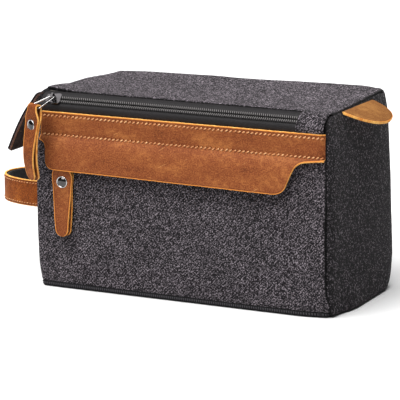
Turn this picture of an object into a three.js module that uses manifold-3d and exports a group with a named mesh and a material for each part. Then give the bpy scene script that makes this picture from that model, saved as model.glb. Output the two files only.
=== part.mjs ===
// Shaving kit bag: a boxy canvas bag with a zip along its front top corner, a leather strip
// and flap over a zipped front pocket, a leather side handle, a grab tab and leather zip pulls.
// Millimetres, +X to the right, +Y to the back, +Z up, origin at the middle of the base.
import * as THREE from 'three';
import { mergeVertices } from 'three/addons/utils/BufferGeometryUtils.js';
import Module from 'manifold-3d';

const wasm = await Module();
wasm.setup();

// ---- Driving dimensions ----------------------------------------------------------------------
const WIDTH = 260;            // left end to right end
const DEPTH = 134;            // front to back
const HEIGHT = 165;           // table to top panel
const GAP = 0.3;              // clearance between neighbouring pieces
const CANVAS = 1.6;           // body cloth with its backing
const LEATHER = 2;            // strip, flap and tab
const LINING = 0.8;
const TAPE = 0.9;             // woven zip tape

const RIGHT = WIDTH / 2;
const LEFT = -RIGHT;
const BACK = DEPTH / 2;
const FRONT = -BACK;
const WELT_HEIGHT = 4;        // dark rim around the base
const STRIP_TOP = 150;        // upper edge of the leather strip
const FLAP_FOLD = 130;        // height of the line that the flap folds on
const FLAP_BOTTOM = 100;
const FLAP_SLOPE = Math.atan(0.24);   // the flap stands off the pocket zip below it

// Zip chain: two rows of teeth with a slit between them that the slider's post runs in
const CHAIN = { slit: 0.6, tooth: 2.6, thick: 2.2 };
const SLIDER = { length: 13, half: 5, plate: 0.9, clear: 0.35, post: 0.3, postLength: 4 };
const MAIN_ZIP = { y: FRONT + 3, z: HEIGHT - 5.7, tilt: Math.PI / 4, start: -107.5, end: 86.5 };
const MAIN_SLIDER_X = -114.5;
const POCKET_ZIP = { y: FRONT + 2.8, z: 117, start: -112, end: 90, slot: 6 };
const POCKET_SLIDER_X = -104.5;

// Pulls: a leather strip folded around a wire ring and closed with a dome rivet
const WIRE = 0.6;
const PULL = { length: 61, neck: 6, shoulder: 9.3, tip: 5.6, layer: 1.3, slit: 0.25, eye: 1.05 };
const RIVET = { drop: 15, cap: 5, dome: 1.6, shank: 1.6, backCap: 4, backThick: 0.5 };
const MAIN_PULL_YAW = -28 * Math.PI / 180;

// Side handle: a strap loop, its front and back feet sewn into the end's upright seams
const HANDLE = { y: -9, half: 34.5, reach: 57, bottom: 63, height: 21, leather: 2, lining: 1.2 };
const HANDLE_BEND_X = -143;   // the loop flexes up and down about this line

// ---- Materials -------------------------------------------------------------------------------
function material(color, roughness, metalness = 0) {
  return new THREE.MeshStandardMaterial({ color, roughness, metalness });
}
const canvas = material(0x3d3c42, 0.95);
const leather = material(0xae6526, 0.6);
const darkLeather = material(0x4a2c1c, 0.7);
const tapeCloth = material(0x1d1d20, 0.8);
const coil = material(0x29292c, 0.5);
const blackCloth = material(0x17171a, 0.9);
const liningCloth = material(0x6f6a60, 0.9);
const board = material(0x8a7a62, 0.9);
const steel = material(0xb9bbc0, 0.25, 1);

// ---- Booleans --------------------------------------------------------------------------------
function solid(geometry) {
  const bare = geometry.clone();
  bare.deleteAttribute('normal');
  bare.deleteAttribute('uv');
  const merged = mergeVertices(bare, 1e-4);
  const vertProperties = new Float32Array(merged.attributes.position.array);
  const triVerts = new Uint32Array(merged.index.array);
  return new wasm.Manifold(new wasm.Mesh({ numProp: 3, vertProperties, triVerts }));
}

function geometryOf(manifold) {
  const { vertProperties, triVerts } = manifold.getMesh();
  const geometry = new THREE.BufferGeometry();
  geometry.setAttribute('position', new THREE.BufferAttribute(new Float32Array(vertProperties), 3));
  geometry.setIndex(new THREE.BufferAttribute(new Uint32Array(triVerts), 1));
  geometry.computeVertexNormals();
  return geometry;
}

const join = (...pieces) => geometryOf(pieces.map(solid).reduce((a, b) => a.add(b)));
const cut = (piece, ...tools) => geometryOf(tools.map(solid).reduce((a, b) => a.subtract(b), solid(piece)));
const common = (a, b) => geometryOf(solid(a).intersect(solid(b)));

// ---- Shape helpers ---------------------------------------------------------------------------
const shapeOf = (points) => new THREE.Shape(points.map(([u, v]) => new THREE.Vector2(u, v)));

// A closed outline around a centre line, half the thickness to each side
function ribbon(line, thickness, offset = 0) {
  const left = [];
  const right = [];
  line.forEach(([u, v], i) => {
    const [u0, v0] = line[Math.max(i - 1, 0)];
    const [u1, v1] = line[Math.min(i + 1, line.length - 1)];
    const size = Math.hypot(u1 - u0, v1 - v0);
    const normal = [-(v1 - v0) / size, (u1 - u0) / size];
    const near = offset - thickness / 2;
    const far = offset + thickness / 2;
    left.push([u + normal[0] * far, v + normal[1] * far]);
    right.unshift([u + normal[0] * near, v + normal[1] * near]);
  });
  return shapeOf([...left, ...right]);
}

// A smooth line through a few points
function smooth(points, steps) {
  const curve = new THREE.SplineCurve(points.map(([u, v]) => new THREE.Vector2(u, v)));
  return curve.getPoints(steps).map((p) => [p.x, p.y]);
}

function extruded(shape, depth) {
  return new THREE.ExtrudeGeometry(shape, { depth, bevelEnabled: false, curveSegments: 6 });
}

// Outline in (y, z), extruded from x0 to x1
function alongX(shape, x0, x1) {
  const axes = new THREE.Matrix4().makeBasis(
    new THREE.Vector3(0, 1, 0), new THREE.Vector3(0, 0, 1), new THREE.Vector3(1, 0, 0));
  return extruded(shape, x1 - x0).applyMatrix4(axes).translate(x0, 0, 0);
}

// Outline in (x, z), extruded from y0 to y1
function alongY(shape, y0, y1) {
  return extruded(shape, y1 - y0).rotateX(Math.PI / 2).translate(0, y1, 0);
}

// Outline in (x, y), extruded from z0 to z1
function alongZ(shape, z0, z1) {
  return extruded(shape, z1 - z0).translate(0, 0, z0);
}

function box(x0, x1, y0, y1, z0, z1) {
  const geometry = new THREE.BoxGeometry(x1 - x0, y1 - y0, z1 - z0);
  return geometry.translate((x0 + x1) / 2, (y0 + y1) / 2, (z0 + z1) / 2);
}

function roundedRectangle(x0, x1, y0, y1, radius) {
  const shape = new THREE.Shape();
  shape.absarc(x1 - radius, y0 + radius, radius, -Math.PI / 2, 0);
  shape.absarc(x1 - radius, y1 - radius, radius, 0, Math.PI / 2);
  shape.absarc(x0 + radius, y1 - radius, radius, Math.PI / 2, Math.PI);
  shape.absarc(x0 + radius, y0 + radius, radius, Math.PI, Math.PI * 1.5);
  return shape;
}

function piece(parent, name, geometry, look) {
  const mesh = new THREE.Mesh(geometry, look);
  mesh.name = name;
  parent.add(mesh);
  return mesh;
}

const bag = new THREE.Group();

// ---- Body panels -----------------------------------------------------------------------------
// The zip strip's line across the front top corner, from the leather strip to the top panel
const along = (distance) => [
  MAIN_ZIP.y + distance * Math.cos(MAIN_ZIP.tilt),
  MAIN_ZIP.z + distance * Math.sin(MAIN_ZIP.tilt),
];
const flat = 5.5;                                  // straight part that the slider runs on
const lowerSewn = [FRONT - 0.2, STRIP_TOP + 1.2];
const upperSewn = [FRONT + 16.2, HEIGHT - 0.6];
const stripLine = [lowerSewn, along(-flat), along(flat), upperSewn];
const topEdge = upperSewn[0] + 0.8;                // front edge of the top panel

const baseTop = WELT_HEIGHT + GAP;
const insideX = RIGHT - CANVAS;                    // inner face of the end panels
const insideY = BACK - CANVAS;

function frontPanel() {
  const whole = alongY(roundedRectangle(LEFT + GAP, RIGHT - GAP, baseTop, STRIP_TOP, 3), FRONT, -insideY);
  const { start, end, z, slot } = POCKET_ZIP;
  return cut(whole, box(start, end, FRONT - 1, -insideY + 1, z - slot, z + slot));
}
piece(bag, 'front_panel', frontPanel(), canvas);

piece(bag, 'back_panel',
  alongY(
    roundedRectangle(LEFT + GAP, RIGHT - GAP, baseTop, HEIGHT - CANVAS - GAP, 4), insideY, BACK),
  canvas);

// An end panel is cut to the body's section and bulges outward between its seams
const endOutline = shapeOf([
  [-insideY + GAP, baseTop], [insideY - GAP, baseTop], [insideY - GAP, HEIGHT - 4],
  [insideY - 4, HEIGHT - 0.2], [topEdge, HEIGHT - 0.2], [along(flat)[0], along(flat)[1] + 0.5],
  [along(-flat)[0], along(-flat)[1] + 0.5], [lowerSewn[0], lowerSewn[1]], [-insideY + GAP, STRIP_TOP - 1],
]);
function endPanel(side, bulge) {
  const size = [CANVAS, DEPTH + 4, HEIGHT];
  const sheet = new THREE.BoxGeometry(...size, 1, 10, 10);
  const place = sheet.attributes.position;
  for (let i = 0; i < place.count; i += 1) {
    const across = 1 - (2 * place.getY(i) / size[1]) ** 2;
    const upright = 1 - (2 * place.getZ(i) / size[2]) ** 2;
    place.setX(i, place.getX(i) + side * (insideX + CANVAS / 2 + bulge * across * upright));
  }
  const reach = RIGHT + bulge + 1;
  const outline = side > 0 ? alongX(endOutline, 0, reach) : alongX(endOutline, -reach, 0);
  return common(sheet.translate(0, 0, HEIGHT / 2), outline);
}
piece(bag, 'left_end_panel', endPanel(-1, 2), canvas);
piece(bag, 'right_end_panel', endPanel(1, 5), canvas);

piece(bag, 'top_panel',
  alongZ(
    roundedRectangle(-insideX + GAP, insideX - GAP, topEdge, BACK - 0.1, 3),
    HEIGHT - CANVAS, HEIGHT),
  canvas);

// ---- Base ------------------------------------------------------------------------------------
const weltWide = 2.6;
function rim() {
  const outline = roundedRectangle(LEFT + GAP, RIGHT - GAP, FRONT + GAP, BACK - GAP, 8);
  const hole = roundedRectangle(LEFT + weltWide, RIGHT - weltWide, FRONT + weltWide, BACK - weltWide, 6);
  outline.holes.push(new THREE.Path(hole.getPoints(6).reverse()));
  return alongZ(outline, 0.4, WELT_HEIGHT);
}
const underX = RIGHT - weltWide - GAP;
const underY = BACK - weltWide - GAP;
piece(bag, 'base_welt', rim(), blackCloth);
piece(bag, 'bottom_panel', alongZ(roundedRectangle(-underX, underX, -underY, underY, 6), 0, CANVAS), canvas);
piece(bag, 'base_board',
  alongZ(
    roundedRectangle(-underX + 2, underX - 2, -underY + 2, underY - 2, 6),
    CANVAS + GAP, WELT_HEIGHT),
  board);

// ---- Lining ----------------------------------------------------------------------------------
const liningFront = FRONT + 6.6;
function liningSack() {
  const room = (inset, bottom) => shapeOf([
    [liningFront + inset, bottom], [insideY - GAP - inset, bottom],
    [insideY - GAP - inset, HEIGHT - CANVAS - GAP - inset],
    [liningFront + inset, HEIGHT - CANVAS - GAP - inset],
  ]);
  const side = insideX - GAP;
  const mouth = box(-side - 1, side + 1, FRONT, topEdge + 2, STRIP_TOP, HEIGHT);
  return cut(alongX(room(0, baseTop), -side, side),
    alongX(room(LINING, baseTop + LINING), -side + LINING, side - LINING), mouth);
}
piece(bag, 'lining', liningSack(), liningCloth);

// ---- Main zip strip --------------------------------------------------------------------------
const lowerLine = [lowerSewn, along(-flat), along(-CHAIN.slit - CHAIN.tooth - GAP)];
const upperLine = [along(CHAIN.slit + CHAIN.tooth + GAP), along(flat), upperSewn];

piece(bag, 'lower_zip_tape', alongX(ribbon(lowerLine, TAPE), MAIN_ZIP.start, MAIN_ZIP.end), tapeCloth);
piece(bag, 'upper_zip_tape', alongX(ribbon(upperLine, TAPE), MAIN_ZIP.start, MAIN_ZIP.end), tapeCloth);

// The tape beyond each end of the opening, slit where the slider's post comes to rest
function tapeEnd(x0, x1, slit0, slit1) {
  const slit = ribbon([along(-CHAIN.slit), along(CHAIN.slit)], 4 * TAPE);
  return cut(alongX(ribbon(stripLine, TAPE), x0, x1), alongX(slit, slit0, slit1));
}
const tapeLeft = -insideX + GAP;
const coverStart = 104;
piece(bag, 'left_tape_end',
  tapeEnd(tapeLeft, MAIN_ZIP.start - GAP, MAIN_SLIDER_X - 8, MAIN_ZIP.start + 1), tapeCloth);
piece(bag, 'right_tape_end',
  tapeEnd(MAIN_ZIP.end + GAP, coverStart - GAP, MAIN_ZIP.end - 1, coverStart - 2), tapeCloth);
piece(bag, 'zip_end_cover', alongX(ribbon(stripLine, CANVAS), coverStart, insideX - GAP), canvas);

// ---- Zip parts shared by both zips ------------------------------------------------------------
// In a zip's own frame X runs along the chain, Y across it and Z out of the bag
function teethRow(start, end, side) {
  const inner = CHAIN.slit;
  const outer = CHAIN.slit + CHAIN.tooth;
  const [y0, y1] = side > 0 ? [inner, outer] : [-outer, -inner];
  return box(start, end, y0, y1, -CHAIN.thick / 2, CHAIN.thick / 2);
}

const plateInner = CHAIN.thick / 2 + SLIDER.clear;
const plateOuter = plateInner + SLIDER.plate;
function zipSlider(bailRoom, bailThick) {
  const { length, half, post, postLength } = SLIDER;
  const outline = new THREE.Shape();
  outline.moveTo(-length / 2, -half * 0.7);
  outline.lineTo(length / 2 - 3, -half);
  outline.quadraticCurveTo(length / 2, -half, length / 2, -half * 0.6);
  outline.lineTo(length / 2, half * 0.6);
  outline.quadraticCurveTo(length / 2, half, length / 2 - 3, half);
  outline.lineTo(-length / 2, half * 0.7);
  const plates = [alongZ(outline, plateInner, plateOuter), alongZ(outline, -plateOuter, -plateInner)];
  const flanges = [];
  for (const [y0, y1] of [[half - 0.9, half], [-half, -half + 0.9]]) {
    flanges.push(box(-1, length / 2 - 3, y0, y1, 0.8, plateInner + 0.2));
    flanges.push(box(-1, length / 2 - 3, y0, y1, -plateInner - 0.2, -0.8));
  }
  const postEnd = length / 2 - 1;
  const postHalf = plateInner + 0.2;
  const bridge = box(postEnd - postLength, postEnd, -post, post, -postHalf, postHalf);
  const bailTop = plateOuter + bailRoom + 0.6;
  const bail = cut(box(-bailThick / 2, bailThick / 2, -2.4, 2.4, plateOuter - 0.2, bailTop),
    box(-bailThick, bailThick, -1.7, 1.7, plateOuter - 1, plateOuter + bailRoom));
  return join(...plates, ...flanges, bridge, bail);
}

// A wire ring in its own XY plane: a short bar at the slider, a long bar in the leather's fold
function wireRing(topHalf, bottomHalf, length) {
  const corner = 1.4;
  const half = [
    [topHalf - corner * 0.6, 0], [topHalf, -corner],
    [bottomHalf, corner - length], [bottomHalf - corner, -length],
  ];
  const loop = [...half, ...half.map(([u, v]) => [-u, v]).reverse()];
  const bars = loop.flatMap(([u, v], i) => {
    const from = new THREE.Vector3(u, v, 0);
    const to = new THREE.Vector3(...loop[(i + 1) % loop.length], 0);
    const turn = new THREE.Quaternion().setFromUnitVectors(
      new THREE.Vector3(0, 1, 0), to.clone().sub(from).normalize());
    const bar = new THREE.CylinderGeometry(WIRE, WIRE, from.distanceTo(to), 8);
    bar.applyQuaternion(turn).translate((from.x + to.x) / 2, (from.y + to.y) / 2, 0);
    const knuckle = new THREE.SphereGeometry(WIRE * 1.02, 8, 6).translate(from.x, from.y, 0);
    return [bar, knuckle];
  });
  return join(...bars);
}

// A folded leather pull, its fold around X at the origin, hanging down -Z
function leatherPull() {
  const { length, neck, shoulder, tip, layer, slit, eye } = PULL;
  const outer = eye + layer;
  const closeAt = -6;
  const arc = (radius, from, to, steps) => Array.from({ length: steps + 1 }, (_, i) => {
    const angle = from + (to - from) * i / steps;
    return [radius * Math.cos(angle), radius * Math.sin(angle)];
  });
  const side = shapeOf([
    [slit, -length], [slit + layer, -length], [slit + layer, closeAt], ...arc(outer, 0, Math.PI, 10),
    [-slit - layer, closeAt], [-slit - layer, -length], [-slit, -length], [-slit, closeAt],
    ...arc(eye, Math.PI, 0, 8), [slit, closeAt],
  ]);
  const face = new THREE.Shape();
  face.moveTo(neck, outer + 1);
  face.lineTo(neck, -3);
  face.quadraticCurveTo(shoulder, -6, shoulder, -11);
  face.lineTo(tip, tip - length);
  face.absarc(0, tip - length, tip, 0, -Math.PI, true);
  face.lineTo(-shoulder, -11);
  face.quadraticCurveTo(-shoulder, -6, -neck, -3);
  face.lineTo(-neck, outer + 1);
  const strip = common(alongX(side, -shoulder - 1, shoulder + 1), alongY(face, -outer - 1, outer + 1));
  const hole = new THREE.CylinderGeometry(RIVET.shank + GAP, RIVET.shank + GAP, 4 * outer, 12);
  return cut(strip, hole.translate(0, 0, -RIVET.drop));
}

// Dome cap in front (-Y), shank through both layers, flat cap behind
function domeRivet() {
  const { cap, dome, shank, backCap, backThick, drop } = RIVET;
  const seat = PULL.slit + PULL.layer + GAP;
  const profile = [
    [0, -seat - backThick], [backCap, -seat - backThick], [backCap, -seat], [shank, -seat], [shank, seat],
  ];
  for (let i = 0; i <= 5; i += 1) {
    const angle = Math.PI / 2 * i / 5;
    profile.push([cap * Math.cos(angle), seat + dome * Math.sin(angle)]);
  }
  profile[profile.length - 1][0] = 0;
  const lathe = new THREE.LatheGeometry(profile.map(([r, y]) => new THREE.Vector2(r, y)), 20);
  return lathe.rotateX(Math.PI).translate(0, 0, -drop);
}

// ---- Main zip: chain, slider, ring and pull ----------------------------------------------------
const mainZip = new THREE.Group();
mainZip.position.set(0, MAIN_ZIP.y, MAIN_ZIP.z);
mainZip.rotation.x = MAIN_ZIP.tilt;
bag.add(mainZip);
piece(mainZip, 'upper_zip_teeth', teethRow(MAIN_ZIP.start, MAIN_ZIP.end, 1), coil);
piece(mainZip, 'lower_zip_teeth', teethRow(MAIN_ZIP.start, MAIN_ZIP.end, -1), coil);
const mainBailRoom = 3.8;
const mainSlider = piece(mainZip, 'main_slider', zipSlider(mainBailRoom, 1.6), steel);
mainSlider.position.x = MAIN_SLIDER_X;
// The ring starts inside the bail, on the slider's middle
const bailOut = plateOuter + mainBailRoom / 2;
const mainBail = new THREE.Vector3(
  MAIN_SLIDER_X,
  MAIN_ZIP.y - bailOut * Math.sin(MAIN_ZIP.tilt),
  MAIN_ZIP.z + bailOut * Math.cos(MAIN_ZIP.tilt));

const ringReach = 17.7;
const ringDrop = 6.7;
const ringLength = Math.hypot(ringReach, ringDrop);
const mainPullAssembly = new THREE.Group();
mainPullAssembly.position.copy(mainBail);
mainPullAssembly.rotation.z = MAIN_PULL_YAW;
bag.add(mainPullAssembly);
const ringLower = PULL.neck + WIRE + 0.8;
const mainRing = piece(mainPullAssembly, 'main_pull_ring', wireRing(3.3, ringLower, ringLength), steel);
mainRing.rotation.x = Math.atan2(ringDrop, ringReach);
const mainPull = new THREE.Group();
mainPull.position.set(0, -ringReach, -ringDrop);
mainPullAssembly.add(mainPull);
piece(mainPull, 'main_pull', leatherPull(), leather);
piece(mainPull, 'main_pull_rivet', domeRivet(), steel);

// ---- Loose tail of the zip strip at the left end ----------------------------------------------
const tailFront = FRONT + 6;
const tailBack = tailFront + 24;
const tailLine = smooth([[-132.6, 161.2], [-137, 155.3], [-144, 146], [-152, 131.5], [-160.5, 113]], 14);
piece(bag, 'zip_tail_canvas', alongY(ribbon(tailLine, 1.4, -1), tailFront, tailBack), canvas);
piece(bag, 'zip_tail_leather', alongY(ribbon(tailLine, 1.6, 0.8), tailFront, tailBack), darkLeather);

// ---- Leather strip and flap --------------------------------------------------------------------
const stripBack = FRONT - GAP;
const strip = new THREE.Shape();
strip.moveTo(-124, STRIP_TOP);
strip.lineTo(-125.3, 126);
strip.quadraticCurveTo(-121, 125, -118.6, 121);
strip.lineTo(-118.4, FLAP_FOLD + GAP);
strip.lineTo(108.6, FLAP_FOLD + GAP);
strip.lineTo(108.8, 125.6);
strip.quadraticCurveTo(113, 127.4, 129, 128.9);
strip.lineTo(129, STRIP_TOP);
piece(bag, 'leather_strip', alongY(strip, stripBack - LEATHER, stripBack), leather);

// The flap is drawn hanging from the fold and then tilted about it
const flapOutline = new THREE.Shape();
flapOutline.moveTo(-118.1, -GAP);
flapOutline.lineTo(-118.2, -20);
flapOutline.quadraticCurveTo(-118.2, -29.8, -111, -30);
flapOutline.lineTo(86, FLAP_BOTTOM - FLAP_FOLD);
flapOutline.quadraticCurveTo(95, -30, 98, -24);
flapOutline.lineTo(103.5, -10.5);
flapOutline.quadraticCurveTo(105, -6.5, 108.2, -4.8);
flapOutline.lineTo(108.3, -GAP);
const flap = piece(bag, 'flap', alongY(flapOutline, 0, LEATHER), leather);
flap.position.set(0, stripBack - LEATHER - GAP, FLAP_FOLD);
flap.rotation.x = -FLAP_SLOPE;

// ---- Front pocket: tapes, chain, pouch, slider and pull -----------------------------------------
const pocketTape = { y: POCKET_ZIP.y, x0: POCKET_ZIP.start - 3, x1: POCKET_ZIP.end + 3, reach: 11 };
const teethOuter = CHAIN.slit + CHAIN.tooth + GAP;
for (const [name, z0, z1] of [
  ['upper_pocket_tape', POCKET_ZIP.z + teethOuter, POCKET_ZIP.z + pocketTape.reach],
  ['lower_pocket_tape', POCKET_ZIP.z - pocketTape.reach, POCKET_ZIP.z - teethOuter],
]) {
  const { y, x0, x1 } = pocketTape;
  piece(bag, name, box(x0, x1, y - TAPE / 2, y + TAPE / 2, z0, z1), tapeCloth);
}
const pouchFront = POCKET_ZIP.y + TAPE / 2 + GAP;
const pouchBack = liningFront - GAP;
const pouchBottom = 42;
const pouchSection = shapeOf([
  [pouchBack, pouchBottom], [pouchBack, POCKET_ZIP.z + 12], [pouchBack - 0.5, POCKET_ZIP.z + 12],
  [pouchBack - 0.5, pouchBottom + 0.6], [pouchFront + 0.5, pouchBottom + 0.6],
  [pouchFront + 0.5, POCKET_ZIP.z - 7], [pouchFront, POCKET_ZIP.z - 7], [pouchFront, pouchBottom],
]);
piece(bag, 'pocket_pouch', alongX(pouchSection, pocketTape.x0, pocketTape.x1), liningCloth);

const pocketZip = new THREE.Group();
pocketZip.position.set(0, POCKET_ZIP.y, POCKET_ZIP.z);
pocketZip.rotation.x = Math.PI / 2;
bag.add(pocketZip);
const pocketTeeth = [POCKET_ZIP.start + 1, POCKET_ZIP.end - 1];
piece(pocketZip, 'upper_pocket_teeth', teethRow(...pocketTeeth, 1), coil);
piece(pocketZip, 'lower_pocket_teeth', teethRow(...pocketTeeth, -1), coil);
const pocketBailRoom = 1.5;
const pocketSlider = piece(pocketZip, 'pocket_slider', zipSlider(pocketBailRoom, 1.6), steel);
pocketSlider.position.x = POCKET_SLIDER_X;

const pocketRingLength = 10.3;
const pocketPullY = FRONT - 2.6;
const pocketPullAssembly = new THREE.Group();
pocketPullAssembly.position.set(
  POCKET_SLIDER_X, POCKET_ZIP.y - plateOuter - pocketBailRoom / 2, POCKET_ZIP.z);
bag.add(pocketPullAssembly);
const standOff = pocketPullAssembly.position.y - pocketPullY;
const pocketWire = wireRing(3, ringLower, pocketRingLength);
const pocketRing = piece(pocketPullAssembly, 'pocket_pull_ring', pocketWire, steel);
pocketRing.rotation.x = Math.PI / 2 - Math.asin(standOff / pocketRingLength);
const pocketPull = new THREE.Group();
pocketPull.position.set(0, -standOff, -Math.sqrt(pocketRingLength ** 2 - standOff ** 2));
pocketPullAssembly.add(pocketPull);
piece(pocketPull, 'pocket_pull', leatherPull(), leather);
piece(pocketPull, 'pocket_pull_rivet', domeRivet(), steel);

// ---- Grab tab at the right end -----------------------------------------------------------------
const tabOutline = new THREE.Shape();
tabOutline.moveTo(0, -32);
tabOutline.bezierCurveTo(16, -30.5, 29, -24, 29, -3);
tabOutline.bezierCurveTo(29, 16, 15, 28, 0, 30);
const tab = piece(bag, 'right_tab', alongZ(tabOutline, -LEATHER / 2, LEATHER / 2), leather);
tab.position.set(RIGHT + 1.1, -1, HEIGHT - 1.4);
tab.rotation.y = 18 * Math.PI / 180;

// ---- Side handle -------------------------------------------------------------------------------
function handlePath() {
  const root = LEFT - 2.6;
  const points = [[root, FRONT + 11], [root, FRONT + 17]];
  const { y, half, reach } = HANDLE;
  for (let i = 0; i <= 16; i += 1) {
    const angle = -Math.PI / 2 + Math.PI * i / 16;
    const spread = 1 - 0.16 * Math.abs(Math.sin(angle)) ** 6;
    points.push([root - 4 - (reach - 6.6) * Math.cos(angle) * spread, y + half * Math.sin(angle)]);
  }
  points.push([root, BACK - 30], [root, BACK - 18]);
  return smooth(points, 76);
}
function handleBand(thickness, offset) {
  const line = handlePath();
  return alongZ(ribbon(line, thickness, offset), HANDLE.bottom, HANDLE.bottom + HANDLE.height);
}
const handleMiddle = HANDLE.bottom + HANDLE.height / 2;
function bendPin(radius) {
  const pin = new THREE.CylinderGeometry(radius, radius, DEPTH, 40);
  return pin.translate(HANDLE_BEND_X, 0, handleMiddle);
}
const bendRadius = HANDLE.height / 2;
const hornInset = 4.6;        // the loop's corners are cut back so that it can flex both ways
const farLeft = LEFT - HANDLE.reach - 10;
const loopSide = box(farLeft, HANDLE_BEND_X - hornInset, FRONT, BACK, 0, HEIGHT);
const strapBand = handleBand(HANDLE.leather, 0);
piece(bag, 'handle_strap', cut(common(strapBand, loopSide), bendPin(bendRadius + GAP)), leather);
piece(bag, 'handle_lining',
  cut(common(handleBand(HANDLE.lining, HANDLE.leather / 2 + GAP + HANDLE.lining / 2), loopSide),
    bendPin(bendRadius + GAP)), blackCloth);
const footSide = (y0, y1) => join(
  box(HANDLE_BEND_X, LEFT, y0, y1, 0, HEIGHT),
  common(bendPin(bendRadius), box(farLeft, LEFT, y0, y1, 0, HEIGHT)));
piece(bag, 'handle_front_foot', common(strapBand, footSide(FRONT, HANDLE.y)), leather);
piece(bag, 'handle_back_foot', common(strapBand, footSide(HANDLE.y, BACK)), leather);

export default bag;
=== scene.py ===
import math
import bpy
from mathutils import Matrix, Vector, noise


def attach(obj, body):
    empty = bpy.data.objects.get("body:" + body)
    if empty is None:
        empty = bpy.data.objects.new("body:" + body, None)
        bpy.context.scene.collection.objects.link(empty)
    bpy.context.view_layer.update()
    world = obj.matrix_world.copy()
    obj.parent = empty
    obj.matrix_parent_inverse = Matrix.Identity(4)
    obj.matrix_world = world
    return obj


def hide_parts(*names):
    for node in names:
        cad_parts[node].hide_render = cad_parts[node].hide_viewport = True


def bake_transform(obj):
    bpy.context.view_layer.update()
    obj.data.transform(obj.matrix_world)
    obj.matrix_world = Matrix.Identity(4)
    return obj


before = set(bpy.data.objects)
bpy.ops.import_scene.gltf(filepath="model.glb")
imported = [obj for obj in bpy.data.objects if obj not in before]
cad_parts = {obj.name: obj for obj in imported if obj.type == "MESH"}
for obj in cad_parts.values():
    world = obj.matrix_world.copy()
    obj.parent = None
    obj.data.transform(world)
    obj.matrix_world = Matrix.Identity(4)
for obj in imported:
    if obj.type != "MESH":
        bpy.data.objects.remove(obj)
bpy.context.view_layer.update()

MM = 0.001

# The bag's main sizes in millimetres, as in the CAD
RIGHT, LEFT = 130, -130
FRONT, BACK = -67, 67
TOP, BASE = 165, 4.3
STRIP_TOP, FOLD = 150, 130
STRIP_FACE = -69.3
ZIP = (-64, 159.3)            # the main zip's centre line, y and z
TILT = math.radians(45)
POCKET_Z, POCKET_Y = 117, -64.2
LEATHER_THICK = 2

# Sizes that only the soft shapes have
TUCK = 1.6                    # how far the cloth dips into its seams
FOOT = 30                     # radius where the back rolls under


# ---- Mesh helpers ----
def add_object(name, data):
    obj = bpy.data.objects.new(name, data)
    bpy.context.collection.objects.link(obj)
    return obj


def mesh_object(name, points, faces, flats=None):
    """Points in millimetres. Flats are each point's place on the flat cloth, for the textures,
    and its distance to the edge of the cloth where that matters: painted seam shade on canvas, rubbed rims
    on leather"""
    mesh = bpy.data.meshes.new(name)
    mesh.from_pydata([tuple(c * MM for c in p) for p in points], [], faces)
    if flats:
        layer = mesh.attributes.new("flat", "FLOAT_VECTOR", "POINT")
        layer.data.foreach_set("vector", [c * MM for f in flats for c in (*f, 50)[:3]])
    mesh.update()
    mesh.shade_smooth()
    return add_object(name, mesh)


def grid(name, us, vs, place, skip=None):
    """A sheet of quads. place(u, v) gives the point and its place on the flat cloth"""
    placed = [place(u, v) for v in vs for u in us]
    across = len(us)
    faces = []
    for j in range(len(vs) - 1):
        for i in range(across - 1):
            if skip and skip((us[i] + us[i + 1]) / 2, (vs[j] + vs[j + 1]) / 2):
                continue
            a = j * across + i
            faces.append((a, a + 1, a + across + 1, a + across))
    return mesh_object(name, [p[0] for p in placed], faces, [p[1] for p in placed])


def section_faces(count, rows):
    """Quads between neighbouring sections of a closed band"""
    faces = []
    for i in range(count):
        for k in range(rows - 1):
            a, b = i * rows + k, (i + 1) % count * rows + k
            faces.append((a, b, b + 1, a + 1))
    return faces


def lines(low, high, step, fixed=(), beyond=2.5):
    """Grid lines that are close together at the edges, with one beyond each edge"""
    near = (0, 0.4, 0.9, 1.5, 2.3, 3.4, 5, 7)
    ends = [low + e for e in near] + [high - e for e in near]
    count = max(2, round((high - low - 14) / step))
    middle = [low + 7 + (high - low - 14) * i / count for i in range(1, count)]
    keep = [m for m in middle if all(abs(m - f) > 0.45 * step for f in fixed)]
    return sorted([low - beyond, high + beyond] + ends + keep + list(fixed))


def steps(low, high, count):
    return [low + (high - low) * i / count for i in range(count + 1)]


def clamp(value, low, high):
    return max(low, min(high, value))


def ease(t):
    t = clamp(t, 0, 1)
    return t * t * (3 - 2 * t)


def wave(a, b, size, seed):
    """Smooth noise from -1 to 1 that changes over about size millimetres"""
    return noise.noise(Vector((a / size, b / size, seed)))


def roll(edge, depth, width):
    """How far cloth dips at a distance from its seam"""
    if edge >= width:
        return 0
    return depth * (1 - math.sqrt(max(0, 1 - (1 - edge / width) ** 2)))


def smooth(points, count):
    """An even curve through points"""
    points = [Vector(p) for p in points]
    ends = [2 * points[0] - points[1]] + points + [2 * points[-1] - points[-2]]
    dense = []
    for i in range(len(points) - 1):
        a, b, c, d = ends[i:i + 4]
        for k in range(24):
            t = k / 24
            dense.append(0.5 * (2 * b + (c - a) * t + (2 * a - 5 * b + 4 * c - d) * t * t
                                + (3 * b - a - 3 * c + d) * t ** 3))
    dense.append(points[-1])
    return [p for p, _ in walk(dense, count=count)]


def walk(points, pitch=None, count=None):
    """Even places along a polyline, each with its direction"""
    points = [Vector(p) for p in points]
    lengths = [(b - a).length for a, b in zip(points, points[1:])]
    total = sum(lengths)
    count = count or max(1, round(total / pitch))
    places = []
    piece, start = 0, 0
    for i in range(count + 1):
        want = total * i / count
        while piece < len(lengths) - 1 and start + lengths[piece] < want:
            start += lengths[piece]
            piece += 1
        step = points[piece + 1] - points[piece]
        t = clamp((want - start) / max(lengths[piece], 1e-9), 0, 1)
        places.append((points[piece] + step * t, step.normalized()))
    return places


def distances(path):
    """How far along a path each of its points is"""
    run = [0]
    for a, b in zip(path, path[1:]):
        run.append(run[-1] + (b - a).length)
    return run


def heading(path, i):
    """The direction of a path at one of its points"""
    return (path[min(len(path) - 1, i + 1)] - path[max(0, i - 1)]).normalized()


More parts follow.
